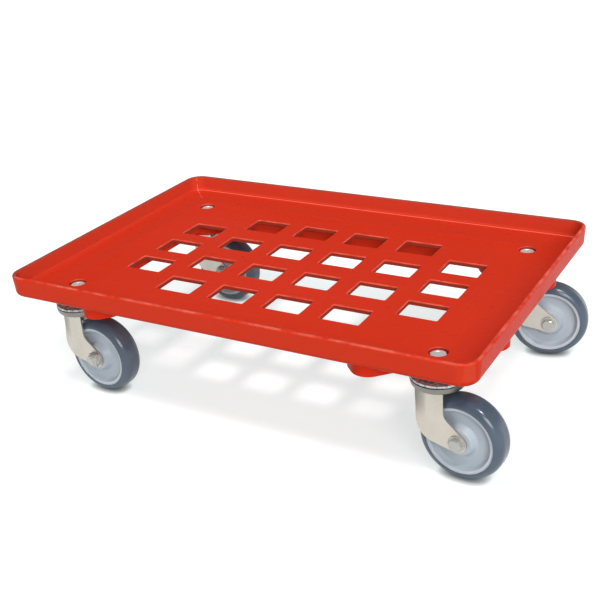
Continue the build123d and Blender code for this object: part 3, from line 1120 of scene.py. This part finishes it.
class Dresser:
    """Holds the finishes' materials and puts them on the pieces and the solids."""

    def __init__(self, finishes: Sequence[Finish]) -> None:
        """Make every finish's material once."""
        self.materials = {finish.slot: finish.material() for finish in finishes}

    def dress_node(self, name: str, slot: Slot) -> None:
        """Give a solid of the frame its finish.

        Args:
            name: The node's name.
            slot: The finish.
        """
        node = frame["nodes"][name]
        if not node.material_slots:
            node.data.materials.append(None)
        for holder in node.material_slots:
            holder.material = self.materials[slot]
        log.info("solid %s dressed in %s", name, slot.value)

    def dress_piece(self, piece: Piece, slot: Slot, body: str, node: str | None = None) -> None:
        """Give a new piece its finish, the body it rides on and the solid it stands for.

        Args:
            piece: The new piece.
            slot: The finish.
            body: The body it moves with.
            node: The solid that it replaces, if it is the main piece of one.
        """
        piece.data.materials.append(self.materials[slot])
        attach(piece, body)
        if node is not None:
            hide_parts(node)
        log.info("piece %s rides on %s in place of %s", piece.name, body, node)


@dataclass(frozen=True)
class Deck:
    """The tray and the nuts, whose solids keep their shapes, the lips under the holes and the new bolts."""

    lips: HoleLips = HoleLips()
    bolts: FixingBolts = FixingBolts()
    kept: tuple[tuple[Slot, str], ...] = ((Slot.DECK, "deck"), (Slot.BRIGHT, "fixing_nuts"))

    def dress(self, dresser: Dresser, places: Sequence[CasterPlace]) -> None:
        """Build the lips and the bolts and put the finishes on all of the deck.

        Args:
            dresser: Holds the materials.
            places: The casters' places.
        """
        for slot, name in self.kept:
            dresser.dress_node(name, slot)
        dresser.dress_piece(self.lips.build(), Slot.DECK, "deck")
        dresser.dress_piece(self.bolts.build(places), Slot.BRIGHT, "deck", "fixing_bolts")


@dataclass(frozen=True)
class Caster:
    """One swivel caster: its new fork, wheel and tyre, and the solids of its bearing and axle."""

    place: CasterPlace
    fork: Fork = Fork()
    wheel: WheelCentre = WheelCentre()
    tyre: Tyre = Tyre()
    kept: tuple[tuple[Slot, tuple[str, ...]], ...] = (
        (Slot.BRIGHT, ("top_cup", "kingpin", "lower_dish", "axle_bolt", "axle_nut", "axle_sleeve")),
        (Slot.BALL, ("upper_balls", "lower_balls")),
        (Slot.BUSH, ("wheel_bush",)),
    )

    def dress(self, dresser: Dresser) -> None:
        """Build the new pieces and put the finishes on all of the caster.

        Args:
            dresser: Holds the materials.
        """
        corner = self.place.corner.value
        for slot, names in self.kept:
            for name in names:
                dresser.dress_node(f"{name}_{corner}", slot)
        swivel, wheel = f"caster_{corner}", f"wheel_{corner}"
        dresser.dress_piece(self.fork.build_legs(self.place), Slot.ZINC, swivel, f"fork_{corner}")
        dresser.dress_piece(self.fork.build_crown(self.place), Slot.ZINC, swivel)
        dresser.dress_piece(self.wheel.build(self.place), Slot.WHEEL, wheel, f"wheel_rim_{corner}")
        dresser.dress_piece(self.tyre.build(self.place), Slot.TREAD, wheel, f"tyre_{corner}")


@dataclass(frozen=True)
class Lamp:
    """A far softbox: its lean from upright, along and across the deck, its light and its spread."""

    name: str
    lean: Pair
    light: float
    spread: float = 9.0

    def hang(self) -> None:
        """Hang the lamp above the dolly."""
        lamp = bpy.data.lights.new(self.name, "SUN")
        lamp.energy = self.light * np.pi
        lamp.angle = np.radians(self.spread)
        holder = bpy.data.objects.new(self.name, lamp)
        holder.matrix_world = Vector((*self.lean, 1.0)).to_track_quat("Z", "Y").to_matrix().to_4x4()
        bpy.context.scene.collection.objects.link(holder)


@dataclass(frozen=True)
class Studio:
    """A white floor in a white surround under a dimmer ceiling, three softboxes in front, and the camera."""

    floor_half: float = 15000.0
    floor_points: int = 9
    floor_seen: Colour = (0.56, 0.50, 0.50)
    floor_glow: Colour = (0.600, 0.678, 0.678)
    floor_bounce: float = 0.60
    contact_reach: float = 9.0
    patch_at: Pair = (-100.0, 300.0)
    patch_radius: float = 260.0
    patch_gain: float = 0.22
    surround: float = 1.05
    ceiling: float = 0.22
    surround_fade: Pair = (0.10, 0.22)
    lamps: tuple[Lamp, ...] = (
        Lamp("lamp_right", (0.489, -0.350), 0.32),
        Lamp("lamp_left", (-0.07, -0.280), 0.28),
        Lamp("lamp_fill", (1.33, -1.36), 0.47, spread=26.0),
    )
    camera_at: Triple = (612.292, -1028.159, 511.533)
    azimuth: float = 31.076
    elevation: float = 25.05
    roll: float = -4.191
    focal_pixels: float = 1015.01
    image_pixels: float = 600.0
    sensor: float = 36.0

    def light(self) -> None:
        """Set the surround, which dims with height to the ceiling, and hang the lamps."""
        world = bpy.data.worlds.new("surround")
        graph = Graph(world)
        height = graph.split(graph.coordinates["Generated"])[2]
        strength = graph.spread(height, self.surround_fade, (self.surround, self.ceiling))
        shade = graph.add("Background", color=(1.0, 1.0, 1.0, 1.0), strength=strength)
        graph.add("OutputWorld", surface=shade)
        bpy.context.scene.world = world
        for lamp in self.lamps:
            lamp.hang()

    def floor_finish(self, height: float) -> Material:
        """Make the floor's finish.

        Where the floor is seen, also by reflection or through glass, it is matt with a glow of its own. Both
        darken close to what stands on it, and the glow gains in a round patch behind the deck. Rays that
        only carry light meet a plain grey.

        Args:
            height: The floor's height in metres.

        Returns:
            The material.
        """
        material = bpy.data.materials.new("floor")
        graph = Graph(material)
        contact = graph.add("AmbientOcclusion", distance=self.contact_reach * MM).outputs["AO"]
        shaded = graph.add("VectorMath", self.floor_seen, setting=("operation", "SCALE"), scale=contact)
        middle = (*np.multiply(self.patch_at, MM), height)
        away = graph.add("VectorMath", graph.place, middle, setting=("operation", "DISTANCE"))
        patch = graph.reach(away.outputs["Value"], (0.0, self.patch_radius), (1.0 + self.patch_gain, 1.0))
        glow = graph.add("Emission", color=(*self.floor_glow, 1.0), strength=graph.times(patch, contact))
        shown = graph.add("AddShader", graph.add("BsdfDiffuse", shaded), glow)
        bounce = graph.add("BsdfDiffuse", (*[self.floor_bounce] * 3, 1.0))
        ray = graph.add("LightPath").outputs
        mirrored = graph.larger(ray["Is Glossy Ray"], ray["Is Transmission Ray"])
        seen = graph.larger(ray["Is Camera Ray"], mirrored)
        graph.add("OutputMaterial", graph.add("MixShader", seen, bounce, shown))
        return material

    def lay_floor(self, height: float) -> None:
        """Lay a level floor that looks white and keeps a pale shadow.

        Args:
            height: The floor's height in metres.
        """
        line = np.linspace(-self.floor_half, self.floor_half, self.floor_points) * MM
        x, y = np.meshgrid(line, line)
        floor = make_piece("floor", [Grid(np.stack([x, y, np.full_like(x, height)], -1)[:, ::-1])])
        floor.data.materials.append(self.floor_finish(height))

    def set_camera(self) -> None:
        """Stand the camera at the photograph's viewpoint: its back by azimuth and elevation, then rolled."""
        az, el, roll = np.radians([self.azimuth, self.elevation, self.roll])
        back = np.array([np.sin(az) * np.cos(el), -np.cos(az) * np.cos(el), np.sin(el)])
        right = np.array([np.cos(az), np.sin(az), 0.0])
        up = np.cross(back, right)
        across = np.cos(roll) * right + np.sin(roll) * up
        upright = np.cos(roll) * up - np.sin(roll) * right
        camera = bpy.data.cameras.new("camera")
        camera.sensor_width = self.sensor
        camera.lens = self.focal_pixels / self.image_pixels * self.sensor
        holder = bpy.data.objects.new("camera", camera)
        turn = Matrix(np.stack([across, upright, back], 1).tolist()).to_4x4()
        holder.matrix_world = Matrix.Translation(Vector(self.camera_at) * MM) @ turn
        bpy.context.scene.collection.objects.link(holder)
        bpy.context.scene.camera = holder

    def set_up(self) -> None:
        """Put up the whole studio round the dolly."""
        bpy.context.scene.view_settings.view_transform = "Standard"
        self.light()
        self.lay_floor(cad_box[0][2])
        self.set_camera()


def main() -> None:
    """Dress the deck and the four casters, then put up the studio."""
    logging.basicConfig(level=logging.INFO, format="%(name)s: %(message)s")
    dresser = Dresser(FINISHES)
    places = [CasterPlace.read(corner, frame["joints"]) for corner in Corner]
    Deck().dress(dresser, places)
    for place in places:
        Caster(place).dress(dresser)
    Studio().set_up()


if __name__ == "__main__":
    main()
